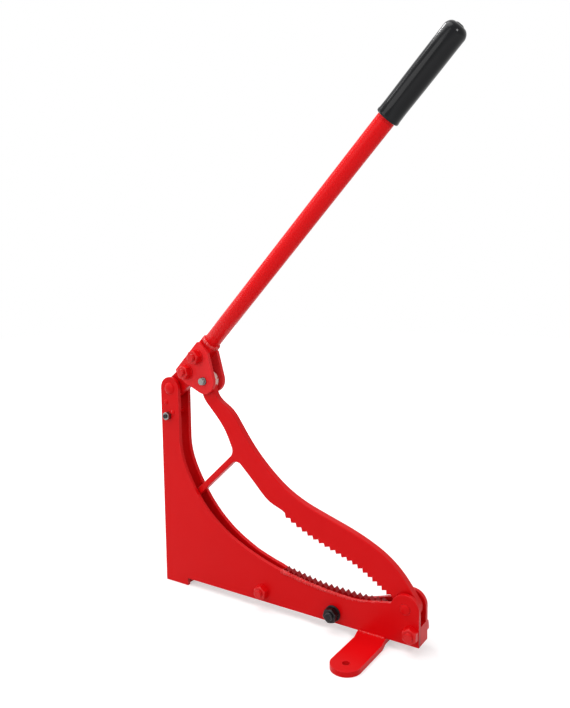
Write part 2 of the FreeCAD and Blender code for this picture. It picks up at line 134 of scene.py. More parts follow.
def spread(tree, value, low, high, new_low, new_high):
    inputs = {"Value": value, "From Min": low, "From Max": high,
              "To Min": new_low, "To Max": new_high}
    return add_node(tree, "ShaderNodeMapRange", inputs).outputs["Result"]


def blend_colours(tree, share, first, second):
    node = add_node(tree, "ShaderNodeMix", {0: share}, data_type="RGBA")
    for socket, colour in ((node.inputs[6], first), (node.inputs[7], second)):
        if isinstance(colour, bpy.types.NodeSocket):
            tree.links.new(colour, socket)
        else:
            socket.default_value = (*colour, 1)
    return node.outputs[2]


def bump(tree, height, distance, strength=1.0, normal=None):
    inputs = {"Height": height, "Distance": distance, "Strength": strength}
    if normal is not None:
        inputs["Normal"] = normal
    return add_node(tree, "ShaderNodeBump", inputs).outputs["Normal"]


def finish_surface(tree, inputs):
    surface = add_node(tree, "ShaderNodeBsdfPrincipled", inputs)
    add_node(tree, "ShaderNodeOutputMaterial", {"Surface": surface.outputs["BSDF"]})


def edge_share(tree, radius):
    """1 on rounded edges and corners, 0 on flats."""
    soft = add_node(tree, "ShaderNodeBevel", {"Radius": radius}, samples=4).outputs["Normal"]
    flat = add_node(tree, "ShaderNodeNewGeometry").outputs["Normal"]
    dot = add_node(tree, "ShaderNodeVectorMath", {0: soft, 1: flat}, operation="DOT_PRODUCT")
    return spread(tree, dot.outputs["Value"], 0.995, 0.90, 0.0, 1.0)


def distance_from_pin(tree, place, pin_x, pin_z):
    """Distance from a cross pin's axis, for the painted highlight round it."""
    centred = first_output(tree, "ShaderNodeMapping",
                           {"Vector": place, "Location": (-pin_x, 0, -pin_z), "Scale": (1, 0, 1)})
    return length_of(tree, centred)


# Materials

DEEP_RED, FULL_RED = (0.60, 0.0014, 0.0028), (0.68, 0.0026, 0.0044)
# Darker copy of the red: painted shade for the lower jaw, whose teeth sit in shade between the
# plates.
SHADED_DEEP_RED, SHADED_FULL_RED = (0.20, 0.0016, 0.0032), (0.30, 0.0026, 0.0050)
# Lighter copy of the same red for the tube: painted light, for the light the tube catches.
TUBE_LIT_DEEP_RED, TUBE_LIT_FULL_RED = (0.71, 0.0034, 0.0050), (0.80, 0.0056, 0.0078)
# Lighter, pinkish copy of the red for the cheeks: a painted reflection.
CHEEK_REFLECTION_DEEP_RED, CHEEK_REFLECTION_FULL_RED = (0.72, 0.012, 0.015), (0.78, 0.030, 0.034)
# Lighter red for the rounded edges: a painted highlight where they catch the light, with a little
# wear.
EDGE_HIGHLIGHT_RED = (0.82, 0.045, 0.060)
# Pale colour on the rim of the arm's eye between the cheeks: a painted highlight.
EYE_HIGHLIGHT_COLOUR = (0.80, 0.75, 0.68)
EYE_HIGHLIGHT_FADES_AT, EYE_HIGHLIGHT_FULL_AT = 10.4 * MM, 9.2 * MM      # distances from the pin's axis


def red_paint(name, lump=0.0, highlight_pin=None, deep=DEEP_RED, full=FULL_RED,
              highlit_and_worn_edges=False, shine=0.11):
    """Glossy red paint over steel, with orange peel, and lumps where it covers a weld; it may also
    take lighter edges, a painted highlight with a little wear, and a painted highlight round a pin.
    """
    material, tree, place = new_material(name)
    colour = blend_colours(tree, noise(tree, place, 9.0, 3.0), deep, full)
    # Painted highlight along the rounded edges, broken up a little as by wear.
    if highlit_and_worn_edges:
        edge_patchiness = spread(tree, noise(tree, place, 160.0, 4.0, 0.6), 0.30, 0.70, 0.25, 0.9)
        edge_highlight_and_wear = times(tree, edge_share(tree, 0.6 * MM), edge_patchiness)
        colour = blend_colours(tree, edge_highlight_and_wear, colour, EDGE_HIGHLIGHT_RED)
    gloss = spread(tree, noise(tree, place, 24.0, 2.0), 0.3, 0.7, 0.29, 0.36)
    peel = bump(tree, noise(tree, place, 260.0, 1.0), 0.02 * MM, 0.12)
    normal = bump(tree, noise(tree, place, 30.0, 1.0), 0.15 * MM, 0.15, peel)
    if lump:
        normal = bump(tree, noise(tree, place, 700.0, 2.0), lump, 0.8, normal)
    # Painted highlight: pale patches on the rim round the arm's eye pin.
    if highlight_pin:
        near_pin = spread(tree, distance_from_pin(tree, place, *highlight_pin),
                          EYE_HIGHLIGHT_FADES_AT, EYE_HIGHLIGHT_FULL_AT, 0.0, 1.0)
        highlight_patches = spread(tree, noise(tree, place, 330.0, 3.0), 0.34, 0.46, 0.0, 1.0)
        colour = blend_colours(tree, times(tree, near_pin, highlight_patches), colour, EYE_HIGHLIGHT_COLOUR)
    finish_surface(tree, {"Base Color": colour, "Roughness": gloss, "Normal": normal,
                          "Specular IOR Level": shine})
    return material


def black_oxide():
    """Oil-blackened steel of the jaw clamp bolt."""
    material, tree, place = new_material("black_oxide")
    cloud = noise(tree, place, 260.0, 4.0)
    colour = blend_colours(tree, cloud, (0.012, 0.011, 0.013), (0.035, 0.032, 0.035))
    colour = blend_colours(tree, edge_share(tree, 0.4 * MM), colour, (0.13, 0.12, 0.125))
    rough = spread(tree, noise(tree, place, 420.0, 3.0), 0.3, 0.7, 0.24, 0.46)
    normal = bump(tree, noise(tree, place, 1500.0, 3.0), 0.03 * MM, 0.5)
    finish_surface(tree, {"Base Color": colour, "Roughness": rough, "Normal": normal,
                          "Metallic": 0.9})
    return material


def bare_zinc():
    """Bright zinc plate, a little dull and streaked."""
    material, tree, place = new_material("bare_zinc")
    cloud = noise(tree, place, 120.0, 4.0)
    colour = blend_colours(tree, cloud, (0.09, 0.094, 0.10), (0.34, 0.34, 0.32))
    stains = spread(tree, noise(tree, place, 480.0, 5.0, 0.7), 0.56, 0.75, 0.0, 0.8)
    colour = blend_colours(tree, stains, colour, (0.05, 0.047, 0.045))
    rough = spread(tree, noise(tree, place, 700.0, 3.0), 0.3, 0.7, 0.20, 0.40)
    normal = bump(tree, noise(tree, place, 2200.0, 2.0), 0.02 * MM, 0.5)
    finish_surface(tree, {"Base Color": colour, "Roughness": rough, "Normal": normal,
                          "Metallic": 1.0})
    return material


def grip_vinyl():
    """Black dipped vinyl, glossy, with faint sags and rubbed spots."""
    material, tree, place = new_material("grip_vinyl")
    cloud = noise(tree, place, 60.0, 4.0)
    colour = blend_colours(tree, cloud, (0.0012, 0.0014, 0.0022), (0.003, 0.0034, 0.005))
    rubbed = spread(tree, noise(tree, place, 35.0, 5.0, 0.65), 0.45, 0.75, 0.11, 0.26)
    sags = bump(tree, noise(tree, place, 60.0, 1.0), 0.4 * MM, 0.18)
    normal = bump(tree, noise(tree, place, 500.0, 2.0), 0.01 * MM, 0.3, sags)
    finish_surface(tree, {"Base Color": colour, "Roughness": rubbed, "Normal": normal,
                          "Specular IOR Level": 0.2})
    return material


PAINT = red_paint("red_paint")
# The tube's paint is painted lighter, standing in for light.
TUBE_PAINT = red_paint("red_paint_on_tube_painted_lighter", deep=TUBE_LIT_DEEP_RED, full=TUBE_LIT_FULL_RED)
PLATE_PAINT = red_paint("red_paint_on_plates", highlit_and_worn_edges=True)
ARM_PAINT = red_paint("red_paint_with_painted_highlight_at_the_eye", highlight_pin=ARM_PIN, highlit_and_worn_edges=True)
# The lower jaw's paint is darkened as painted shade.
JAW_PAINT_WITH_PAINTED_SHADE = red_paint("red_paint_on_jaw_painted_shade", deep=SHADED_DEEP_RED, full=SHADED_FULL_RED)
# The cheeks' paint carries a painted reflection over the whole face.
CHEEK_PAINT = red_paint("red_paint_on_cheeks_with_painted_reflection", deep=CHEEK_REFLECTION_DEEP_RED, full=CHEEK_REFLECTION_FULL_RED,
                        highlit_and_worn_edges=True)
WELD_PAINT = red_paint("red_paint_on_weld", 0.25 * MM, shine=0.45)
NUT_PAINT = red_paint("red_paint_on_nuts", 0.12 * MM, shine=0.32)
OXIDE = black_oxide()
ZINC = bare_zinc()
VINYL = grip_vinyl()
FINISHES = {"red_paint": PAINT, "black_oxide": OXIDE, "bare_zinc": ZINC, "grip_vinyl": VINYL}

SLOT_OF = {part["node"]: part["material_slot"] for part in frame["record"]["subparts"]}
BODY_OF = {node: body for body, nodes in frame["record"]["behaviour"]["bodies"].items()
           for node in nodes}


def finish_of(node, material=None):
    return material or FINISHES[SLOT_OF[node]]


def dress(thing, material):
    thing.data.materials.clear()
    thing.data.materials.append(material)


for node, thing in frame["nodes"].items():
    dress(thing, finish_of(node))


# Pieces

def in_scene(name, data):
    thing = bpy.data.objects.new(name, data)
    bpy.context.scene.collection.objects.link(thing)
    return thing


def riding_piece(name, mesh, body, material):
    """Puts a finished mesh into the scene, on its body."""
    thing = in_scene(name, mesh)
    dress(thing, material)
    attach(thing, body)
    return thing


def add_piece(name, mesh, node, material=None):
    """Puts a finished mesh into the scene in place of a CAD node."""
    thing = riding_piece(name, mesh, BODY_OF[node], finish_of(node, material))
    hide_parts(node)
    return thing


def smooth(mesh, sharp_from):
    """Shades a mesh smooth, but for edges that turn by more than the angle in degrees."""
    for face in mesh.polygons:
        face.use_smooth = True
    mesh.set_sharp_from_angle(angle=math.radians(sharp_from))


def mesh_from(shell, name):
    mesh = bpy.data.meshes.new(name)
    shell.to_mesh(mesh)
    shell.free()
    return mesh


def merged_copy(node):
    """A CAD node's mesh with its loose triangles joined and its flats made whole."""
    shell = bmesh.new()
    shell.from_mesh(frame["nodes"][node].data)
    bmesh.ops.remove_doubles(shell, verts=shell.verts, dist=2e-6)
    bmesh.ops.dissolve_limit(shell, angle_limit=math.radians(0.6),
                             verts=shell.verts, edges=shell.edges)
    return shell


# Rounded plates

SHARP_EDGE = math.radians(35)       # flatter edges than this aren't rounded
TOOTH_TURN = math.radians(45)
TOOTH_FLANK = 6 * MM                # longer edges than this aren't teeth
TOOTH_ROUNDING = 0.35               # share of a plate's full rounding


def outline_turn(vertex, edge):
    """How sharply a plate's outline turns at a vertex, seen along Y."""
    away = (vertex.co - edge.other_vert(vertex).co).normalized()
    turns = [away.angle(other.other_vert(vertex).co - vertex.co) for other in vertex.link_edges
             if other is not edge
             and abs(other.other_vert(vertex).co.y - vertex.co.y) < 0.5 * MM]
    return min(turns, default=0.0)


def edge_roundings(shell):
    """Share of the full rounding on each edge: all of it along the outline, less on the teeth."""
    layer = shell.edges.layers.float.new("bevel_weight_edge")
    for edge in shell.edges:
        run = edge.verts[1].co - edge.verts[0].co
        if len(edge.link_faces) != 2 or edge.calc_face_angle(0.0) < SHARP_EDGE:
            continue
        if abs(run.y) > 0.7 * run.length:
            continue
        toothed = (run.length < TOOTH_FLANK
                   and any(outline_turn(vertex, edge) > TOOTH_TURN for vertex in edge.verts))
        edge[layer] = TOOTH_ROUNDING if toothed else 1.0


def rounded_plate(node, radius, reshape=None, material=PLATE_PAINT):
    """Replaces a CAD plate by the same plate with the edges of the real one, rounded by wear and
    painted over.
    """
    shell = merged_copy(node)
    if reshape:
        reshape(shell)
    edge_roundings(shell)
    mesh = mesh_from(shell, node + "_rounded")
    smooth(mesh, 40)
    thing = add_piece(node + "_rounded", mesh, node, material)
    bevel = thing.modifiers.new("rounded_edges", "BEVEL")
    bevel.width = radius
    bevel.segments = 3
    bevel.limit_method = "WEIGHT"
    bevel.miter_outer = "MITER_ARC"
    flats = thing.modifiers.new("level_flats", "WEIGHTED_NORMAL")
    flats.weight = 100
    flats.keep_sharp = True


JAW_START, JAW_SPAN = 150 * MM, 118 * MM            # of the lower jaw, from the plates' rear edge
THROAT = [(114, 57.9), (152.1, 46.0), (184.1, 40.4), (220.9, 36.8), (246.1, 37.7), (270.5, 42.6)]
FAR_EDGE_DROP = 2.2 * MM
LEAST_LIFT, MORE_LIFT = 0.5, 0.9                    # mm, at a tooth's foot and on top at its tip


def within(value, low, high):
    return min(max(value, low), high)


def rise_over_jaw(x):
    """1 along the middle of the lower jaw's teeth, fading to 0 at both their ends."""
    share = within((x - REAR_X - JAW_START) / JAW_SPAN, 0.0, 1.0)
    return max(0.0, math.sin(math.pi * share)) ** 0.5


def throat_height(x):
    """Height of the plates' upper edge along the lower jaw, and out of reach past its ends."""
    station = (x - REAR_X) / MM
    for (first, low), (last, high) in zip(THROAT, THROAT[1:]):
        if first <= station <= last:
            return (low + (high - low) * (station - first) / (last - first)) * MM
    return 1.0


def lower_far_edge(shell):
    """Drops the far plate's upper edge behind the teeth."""
    for vertex in shell.verts:
        if vertex.co.z > throat_height(vertex.co.x) - 1.5 * MM:
            vertex.co.z -= FAR_EDGE_DROP * rise_over_jaw(vertex.co.x)


def raise_teeth(shell):
    """Lifts the lower jaw's tips clear of the plates."""
    for vertex in shell.verts:
        proud = vertex.co.z - throat_height(vertex.co.x)
        if proud > -1.0 * MM:
            lift = LEAST_LIFT + MORE_LIFT * within((proud + 0.5 * MM) / (3 * MM), 0.0, 1.0)
            vertex.co.z += lift * MM * rise_over_jaw(vertex.co.x)


rounded_plate("near_side_plate", 0.9 * MM)
rounded_plate("toggle_link", 0.8 * MM)
rounded_plate("bench_foot", 0.9 * MM)
rounded_plate("handle_lug", 0.6 * MM)
rounded_plate("heel_block", 0.8 * MM)
rounded_plate("front_spacer_block", 0.8 * MM)
rounded_plate("far_side_plate", 0.9 * MM, reshape=lower_far_edge)
rounded_plate("lower_jaw", 0.4 * MM, reshape=raise_teeth, material=JAW_PAINT_WITH_PAINTED_SHADE)
rounded_plate("upper_jaw_arm", 0.8 * MM, material=ARM_PAINT)
rounded_plate("near_cheek", 0.8 * MM, material=CHEEK_PAINT)
rounded_plate("far_cheek", 0.8 * MM, material=CHEEK_PAINT)


# Tube and grip, in mm: radii, and stations along the handle

HANDLE_ANGLE = math.radians(45.4)
HANDLE_FOOT = Vector((-209.3 * MM, 0, 250.0 * MM))
HANDLE_LEVER = Vector((math.cos(HANDLE_ANGLE), 0, math.sin(HANDLE_ANGLE)))
HANDLE_SIDE = Vector((-HANDLE_LEVER.z, 0, HANDLE_LEVER.x))
TUBE_RADIUS, TUBE_BORE = 8.6, 6.3
TUBE_FOOT, TUBE_TOP = 27.0, 393.0
GRIP_RADIUS, GRIP_BORE = 10.8, 8.62
GRIP_MOUTH, GRIP_TIP = 309.0, 399.0
GRIP_ROUNDING, GRIP_CROWN = 8.5, 4.2
TURNED_SEGMENTS = 72


def turned(name, profile):
    """Closed solid of revolution about the handle's axis, from (radius, station) points."""
    shell = bmesh.new()
    rings = []
    for radius, station in profile:
        centre = HANDLE_FOOT + HANDLE_LEVER * station * MM
        if radius == 0:
            rings.append([shell.verts.new(centre)] * TURNED_SEGMENTS)
            continue
        ring = []
        for i in range(TURNED_SEGMENTS):
            turn = 2 * math.pi * i / TURNED_SEGMENTS
            outward = HANDLE_SIDE * math.cos(turn) + Vector((0, math.sin(turn), 0))
            ring.append(shell.verts.new(centre + outward * radius * MM))
        rings.append(ring)
    for low, high in zip(rings, rings[1:] + rings[:1]):
        for i in range(TURNED_SEGMENTS):
            j = (i + 1) % TURNED_SEGMENTS
            corners = list(dict.fromkeys((low[i], low[j], high[j], high[i])))
            if len(corners) > 2:
                shell.faces.new(corners)
    bmesh.ops.recalc_face_normals(shell, faces=shell.faces)
    mesh = mesh_from(shell, name)
    smooth(mesh, 50)
    return mesh


def build_tube():
    """Drawn tube, its open ends chamfered."""
    outer, bore, start, end = TUBE_RADIUS, TUBE_BORE, TUBE_FOOT, TUBE_TOP
    profile = [(outer, start + 0.4), (outer, 120), (outer, 220), (outer, 320), (outer, end - 0.4),
               (outer - 0.4, end), (bore + 0.3, end), (bore, end - 0.3), (bore, start + 0.3),
               (bore + 0.3, start), (outer - 0.4, start)]
    name = "handle_tube_drawn"
    add_piece(name, turned(name, profile), "handle_tube", TUBE_PAINT)


def build_grip():
    """Dipped sleeve: a rolled mouth, a swelling barrel and a domed end with a flat crown."""
    bore, outer, mouth, tip, crown = GRIP_BORE, GRIP_RADIUS, GRIP_MOUTH, GRIP_TIP, GRIP_CROWN
    profile = [(bore, mouth + 0.4), (bore + 0.3, mouth), (outer - 0.1, mouth),
               (outer + 0.35, mouth + 0.5), (outer + 0.4, mouth + 2.0),
               (outer + 0.05, mouth + 3.6), (outer - 0.15, mouth + 12)]
    for step in range(1, 12):
        swell = 0.15 * math.sin(math.pi * step / 12)
        profile.append((outer - 0.15 + swell, mouth + 12 + step * 5.5))
    for step in range(1, 10):
        angle = math.radians(10 * step)
        side = (outer - crown) * (1 - math.cos(angle))
        rise = (GRIP_ROUNDING - 0.9) * math.sin(angle)
        profile.append((outer - side, tip - GRIP_ROUNDING + rise))
    profile += [(crown - 0.5, tip - 0.55), (crown - 1.6, tip - 0.1), (1.2, tip), (0, tip),
                (0, TUBE_TOP + 0.05), (bore - 0.6, TUBE_TOP + 0.05), (bore, TUBE_TOP - 0.5)]
    name = "handle_grip_dipped"
    add_piece(name, turned(name, profile), "handle_grip")


build_tube()
build_grip()


# Recipes for fasteners and welds, in Geometry Nodes

CHAMFER_START, CHAMFER_SLOPE = 0.93, 1.7            # of a hexagon's end
THREAD_DEPTH, THREAD_CREST = 0.42, 0.40             # shares of the pitch


def new_recipe(name, sizes):
    """A geometry tree with named sizes, a material and its entry and exit."""
    tree = bpy.data.node_groups.new(name, "GeometryNodeTree")

    def socket(label, kind, direction="INPUT"):
        return tree.interface.new_socket(label, in_out=direction, socket_type="NodeSocket" + kind)

    socket("Geometry", "Geometry")
    for label, value in sizes.items():
        socket(label, "Int" if isinstance(value, int) else "Float").default_value = value
    socket("Material", "Material")
    socket("Geometry", "Geometry", "OUTPUT")
    return tree, tree.nodes.new("NodeGroupInput").outputs


def close_recipe(tree, geometry, material):
    whole = first_output(tree, "GeometryNodeRealizeInstances", {"Geometry": geometry})
    finished = first_output(tree, "GeometryNodeSetMaterial",
                            {"Geometry": whole, "Material": material})
    add_node(tree, "NodeGroupOutput", {"Geometry": finished})


def place_on_points(tree, points, instance, seed):
    """Stands the instance's Z along +Y at each point, turned about it by a seeded angle."""
    turn = first_output(tree, "FunctionNodeRandomValue",
                        {0: (-math.pi / 2, 0, 0), 1: (-math.pi / 2, math.pi / 3, 0),
                         "Seed": seed}, data_type="FLOAT_VECTOR")
    return first_output(tree, "GeometryNodeInstanceOnPoints",
                        {"Points": points, "Instance": instance, "Rotation": turn})


def moved(tree, geometry, z):
    return first_output(tree, "GeometryNodeTransform",
                        {"Geometry": geometry, "Translation": vector_from(tree, z=z)})


def cylinder(tree, radius, depth):
    return first_output(tree, "GeometryNodeMeshCylinder",
                        {"Vertices": 32, "Radius": radius, "Depth": depth})


def circle(tree, resolution, radius=1.0):
    return first_output(tree, "GeometryNodeCurvePrimitiveCircle",
                        {"Resolution": resolution, "Radius": radius}, mode="RADIUS")


def rectangle(tree, width, height):
    return first_output(tree, "GeometryNodeCurvePrimitiveQuadrilateral",
                        {"Width": width, "Height": height})


def swept(tree, path, section, **more):
    return first_output(tree, "GeometryNodeCurveToMesh",
                        {"Curve": path, "Profile Curve": section, **more})


def hexagon_reach(tree, flats, height, place):
    """How far out a chamfered hexagon's side stands in a point's direction and at its height."""
    spot = parts_of(tree, place)
    angle = maths(tree, "ARCTAN2", spot["Y"], spot["X"])
    sixth = first_output(tree, "ShaderNodeMath", {0: angle, 1: -math.pi / 6, 2: math.pi / 6},
                         operation="WRAP")
    half = times(tree, flats, 0.5)
    side = over(tree, half, maths(tree, "COSINE", sixth))
    below_top = minus(tree, height, spot["Z"])
    cone = plus(tree, times(tree, half, CHAMFER_START), times(tree, below_top, CHAMFER_SLOPE))
    return maths(tree, "MINIMUM", side, cone)


def hexagon(tree, flats, height, bore=None):
    """Hexagon standing on z = 0 with its free end chamfered; a nut's has a bore through it."""
    if bore is None:
        blank = first_output(tree, "GeometryNodeMeshCylinder",
                             {"Vertices": 48, "Side Segments": 10, "Radius": 1.0, "Depth": 1.0})
    else:
        section = first_output(tree, "GeometryNodeResampleCurve",
                               {"Curve": rectangle(tree, 0.4, 1.0), "Count": 56})
        blank = swept(tree, circle(tree, 48), section)
    spot = parts_of(tree, first_output(tree, "GeometryNodeInputPosition"))
    share = minus(tree, 0.5, spot["Z"])
    level = times(tree, minus(tree, 1.0, maths(tree, "POWER", share, 2.0)), height)
    raised = vector_from(tree, spot["X"], spot["Y"], level)
    reach = hexagon_reach(tree, flats, height, raised)
    length = length_of(tree, vector_from(tree, spot["X"], spot["Y"]))
    if bore is not None:
        outward = spread(tree, length, 0.8, 1.2, 0.0, 1.0)
        reach = plus(tree, bore, times(tree, outward, minus(tree, reach, bore)))
    scale = over(tree, reach, length)
    wide = vector_from(tree, times(tree, spot["X"], scale), times(tree, spot["Y"], scale), level)
    return first_output(tree, "GeometryNodeSetPosition", {"Geometry": blank, "Position": wide})


def bolt_recipe():
    """Hexagon bolts: the head seats at the point, and the threaded shank runs down from it."""
    tree, size = new_recipe("hexagon_bolt", {
        "Across Flats": M8_FLATS, "Head Height": M8_HEAD, "Shank Radius": M8_RADIUS,
        "Length": 30 * MM, "Thread Pitch": M8_PITCH, "Threaded": 14 * MM, "Seed": 1})
    pitch, length, threaded = size["Thread Pitch"], size["Length"], size["Threaded"]
    head = hexagon(tree, size["Across Flats"], size["Head Height"])
    core_radius = minus(tree, size["Shank Radius"], times(tree, pitch, THREAD_DEPTH))
    core = moved(tree, cylinder(tree, core_radius, length), times(tree, length, -0.5))
    coil = first_output(tree, "GeometryNodeCurveSpiral", {
        "Resolution": 24, "Rotations": over(tree, threaded, pitch),
        "Start Radius": core_radius, "End Radius": core_radius, "Height": threaded})
    crest = circle(tree, 6, times(tree, pitch, THREAD_CREST))
    thread = swept(tree, coil, crest, **{"Fill Caps": True})
    above_tip = plus(tree, times(tree, length, -1.0), times(tree, pitch, 0.6))
    body = first_output(tree, "GeometryNodeJoinGeometry",
                        {"Geometry": [head, core, moved(tree, thread, above_tip)]})
    standing = place_on_points(tree, size["Geometry"], body, size["Seed"])
    close_recipe(tree, standing, size["Material"])
    return tree


def nut_recipe():
    """Hexagon nuts: each stands on its point with its free, chamfered end down."""
    tree, size = new_recipe("hexagon_nut", {
        "Across Flats": M8_FLATS, "Height": 6.5 * MM, "Bore Radius": M8_RADIUS + NUT_PLAY,
        "Seed": 1})
    ring = hexagon(tree, size["Across Flats"], size["Height"], size["Bore Radius"])
    flipped = first_output(tree, "GeometryNodeTransform",
                           {"Geometry": ring, "Rotation": (math.pi, 0, 0)})
    standing = place_on_points(tree, size["Geometry"], flipped, size["Seed"])
    close_recipe(tree, standing, size["Material"])
    return tree


def washer_recipe():
    """Flat washers with pressed, rounded edges."""
    tree, size = new_recipe("flat_washer", {
        "Outer Radius": 8 * MM, "Bore Radius": M8_WASHER_BORE, "Thickness": 1.6 * MM, "Seed": 1})
    outer, bore, thickness = size["Outer Radius"], size["Bore Radius"], size["Thickness"]
    path = circle(tree, 56, times(tree, plus(tree, outer, bore), 0.5))
    section = first_output(tree, "GeometryNodeFilletCurve", {
        "Curve": rectangle(tree, minus(tree, outer, bore), thickness), "Count": 3,
        "Radius": times(tree, thickness, 0.3)}, mode="POLY")
    ring = swept(tree, path, section)
    standing = place_on_points(tree, size["Geometry"], ring, size["Seed"])
    close_recipe(tree, standing, size["Material"])
    return tree


def pin_recipe():
    """Peened pins: a shank with a low dome at each end, centred on the point."""
    tree, size = new_recipe("peened_pin", {
        "Shank Radius": M8_RADIUS, "Head Radius": 6.5 * MM, "Head Height": 2.4 * MM,
        "Grip": OVER_PLATES, "Seed": 1})
    shank = cylinder(tree, size["Shank Radius"], size["Grip"])
    ball = first_output(tree, "GeometryNodeMeshUVSphere",
                        {"Segments": 40, "Rings": 20, "Radius": 1.0})
    shape = vector_from(tree, size["Head Radius"], size["Head Radius"], size["Head Height"])
    dome = first_output(tree, "GeometryNodeTransform", {"Geometry": ball, "Scale": shape})
    half = times(tree, size["Grip"], 0.5)
    body = first_output(tree, "GeometryNodeJoinGeometry", {"Geometry": [
        shank, moved(tree, dome, half), moved(tree, dome, times(tree, half, -1.0))]})
    standing = place_on_points(tree, size["Geometry"], body, size["Seed"])
    close_recipe(tree, standing, size["Material"])
    return tree


def weld_recipe():
    """A rippled bead laid along a path, lumpy and a little uneven, that thins towards its end."""
    tree, size = new_recipe("weld_bead", {
        "Bead Radius": 1.6 * MM, "Ripple": 1.8 * MM, "Lumps": 0.5 * MM, "Thinning": 0.0,
        "Seed": 3})
    path = first_output(tree, "GeometryNodeMeshToCurve", {"Mesh": size["Geometry"]})
    path = first_output(tree, "GeometryNodeResampleCurve",
                        {"Curve": path, "Length": times(tree, size["Ripple"], 0.2)},
                        mode="LENGTH")
    along = add_node(tree, "GeometryNodeSplineParameter").outputs
    phase = over(tree, times(tree, along["Length"], 2 * math.pi), size["Ripple"])
    swell = plus(tree, times(tree, maths(tree, "SINE", phase), 0.14), 0.9)
    thinned = minus(tree, 1.0, times(tree, along["Factor"], size["Thinning"]))
    radius = times(tree, times(tree, swell, thinned), size["Bead Radius"])
    bead = swept(tree, path, circle(tree, 12), **{"Scale": radius, "Fill Caps": True})
    here = first_output(tree, "GeometryNodeInputPosition")
    rough = add_node(tree, "ShaderNodeTexNoise",
                     {"Vector": here, "Scale": 420.0, "Detail": 2.0, "W": size["Seed"]},
                     noise_dimensions="4D").outputs["Fac"]
    height = times(tree, minus(tree, rough, 0.5), size["Lumps"])
    offset = first_output(tree, "ShaderNodeVectorMath",
                          {0: first_output(tree, "GeometryNodeInputNormal"), "Scale": height},
                          operation="SCALE")
    bead = first_output(tree, "GeometryNodeSetPosition", {"Geometry": bead, "Offset": offset})
    close_recipe(tree, bead, size["Material"])
    return tree


BOLT, NUT, WASHER, PIN = bolt_recipe(), nut_recipe(), washer_recipe(), pin_recipe()
BEAD = weld_recipe()


def cook(recipe, start, material, sizes):
    """Runs a recipe on the start mesh and returns the result as a plain mesh."""
    holder = in_scene("holder", start)
    modifier = holder.modifiers.new("recipe", "NODES")
    modifier.node_group = recipe
    sockets = {item.name: item.identifier for item in recipe.interface.items_tree
               if item.in_out == "INPUT"}
    for label, value in {**sizes, "Material": material}.items():
        modifier[sockets[label]] = value
    evaluated = holder.evaluated_get(bpy.context.evaluated_depsgraph_get())
    mesh = bpy.data.meshes.new_from_object(evaluated)
    bpy.data.objects.remove(holder)
    smooth(mesh, 38)
    return mesh


def line_mesh(name, places, edges=()):
    mesh = bpy.data.meshes.new(name)
    mesh.from_pydata([tuple(place) for place in places], list(edges), [])
    return mesh


def path_mesh(places, closed):
    count = len(places)
    edges = [(i, i + 1) for i in range(count - 1)] + ([(count - 1, 0)] if closed else [])
    return line_mesh("path", places, edges)


# Fasteners

def solids_of(node):
    """Lowest and highest corner of each separate solid of a CAD node."""
    shell = merged_copy(node)
    left = set(shell.verts)
    boxes = []
    while left:
        reached = [left.pop()]
        corners = []
        while reached:
            vertex = reached.pop()
            corners.append(vertex.co.copy())
            for edge in vertex.link_edges:
                other = edge.other_vert(vertex)
                if other in left:
                    left.discard(other)
                    reached.append(other)
        boxes.append((Vector(map(min, *corners)), Vector(map(max, *corners))))
    shell.free()
    return sorted(boxes, key=lambda corners: tuple(corners[0]))


def middle_at(corners, y):
    low, high = corners
    return Vector(((low.x + high.x) / 2, y, (low.z + high.z) / 2))


def joined(meshes):
    whole = bmesh.new()
    for mesh in meshes:
        whole.from_mesh(mesh)
    return mesh_from(whole, "joined")


def replace_bolts(node, head=M8_HEAD, radius=M8_RADIUS, flats=M8_FLATS, pitch=M8_PITCH, seed=1,
                  material=None):
    """Threaded bolts, each as long as its CAD solid."""
    bolts = []
    for corners in solids_of(node):
        seat = corners[1].y - head
        length = seat - corners[0].y
        sizes = {"Across Flats": flats, "Head Height": head, "Shank Radius": radius,
                 "Thread Pitch": pitch, "Length": length, "Threaded": length * THREADED_SHARE,
                 "Seed": seed}
        place = line_mesh("places", [middle_at(corners, seat)])
        bolts.append(cook(BOLT, place, finish_of(node, material), sizes))
    add_piece(node + "_threaded", joined(bolts), node, material)


def replace_nuts(node, radius=M8_RADIUS, flats=M8_FLATS, seed=2, material=None):
    boxes = solids_of(node)
    sizes = {"Across Flats": flats, "Height": boxes[0][1].y - boxes[0][0].y,
             "Bore Radius": radius + NUT_PLAY, "Seed": seed}
    places = line_mesh("places", [middle_at(corners, corners[1].y) for corners in boxes])
    mesh = cook(NUT, places, finish_of(node, material), sizes)
    add_piece(node + "_hexagon", mesh, node, material)


def replace_washers(node, bore=M8_WASHER_BORE, material=None):
    boxes = solids_of(node)
    low, high = boxes[0]
    sizes = {"Outer Radius": (high.x - low.x) / 2, "Bore Radius": bore,
             "Thickness": high.y - low.y}
    places = line_mesh("places", [middle_at(corners, (corners[0].y + corners[1].y) / 2)
                                  for corners in boxes])
    mesh = cook(WASHER, places, finish_of(node, material), sizes)
    return add_piece(node + "_pressed", mesh, node, material)


def replace_pins(node, shank, head):
    """Peened pins whose domes stand as high as the CAD node's heads."""
    boxes = solids_of(node)
    height = (boxes[0][1].y - boxes[0][0].y - OVER_PLATES) / 2
    sizes = {"Shank Radius": shank, "Head Radius": head, "Head Height": height,
             "Grip": OVER_PLATES}
    places = line_mesh("places", [middle_at(corners, 0) for corners in boxes])
    add_piece(node + "_peened", cook(PIN, places, finish_of(node), sizes), node)


